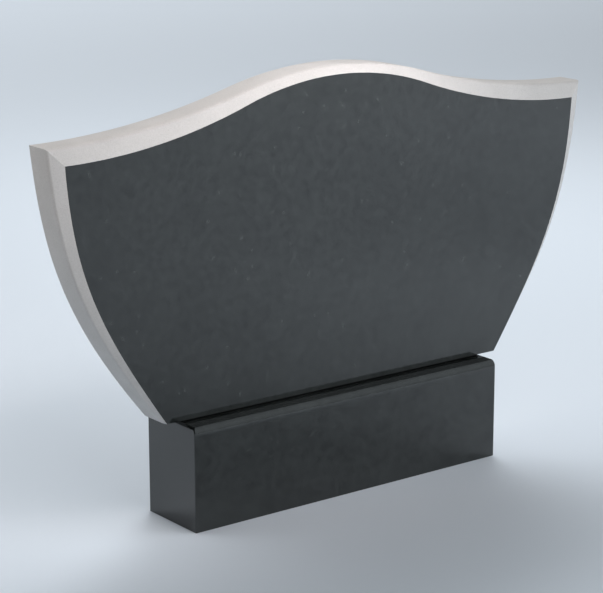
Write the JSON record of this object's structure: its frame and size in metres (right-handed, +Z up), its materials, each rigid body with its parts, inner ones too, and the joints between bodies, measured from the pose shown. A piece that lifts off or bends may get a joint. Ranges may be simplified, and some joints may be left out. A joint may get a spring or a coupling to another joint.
{
  "type": "headstone",
  "caption": "Broad low headstone of dark polished stone: a slab with an ogee top, inward curving sides and pale bevelled edges, bedded on a plain block plinth with eased edges",
  "frame": {"origin": "centre of the plinth's underside, on the ground", "axes": "+Z up, +X along the width, polished front towards -Y"},
  "size_m": [1, 0.122, 0.6565],
  "materials": {
    "slab_stone": "mirror polished front, pale honed bevel and edges",
    "plinth_stone": "mirror polished"
  },
  "bodies": {
    "root": {"memorial_slab": "slab_stone", "plinth": "plinth_stone"}
  },
  "joints": []
}
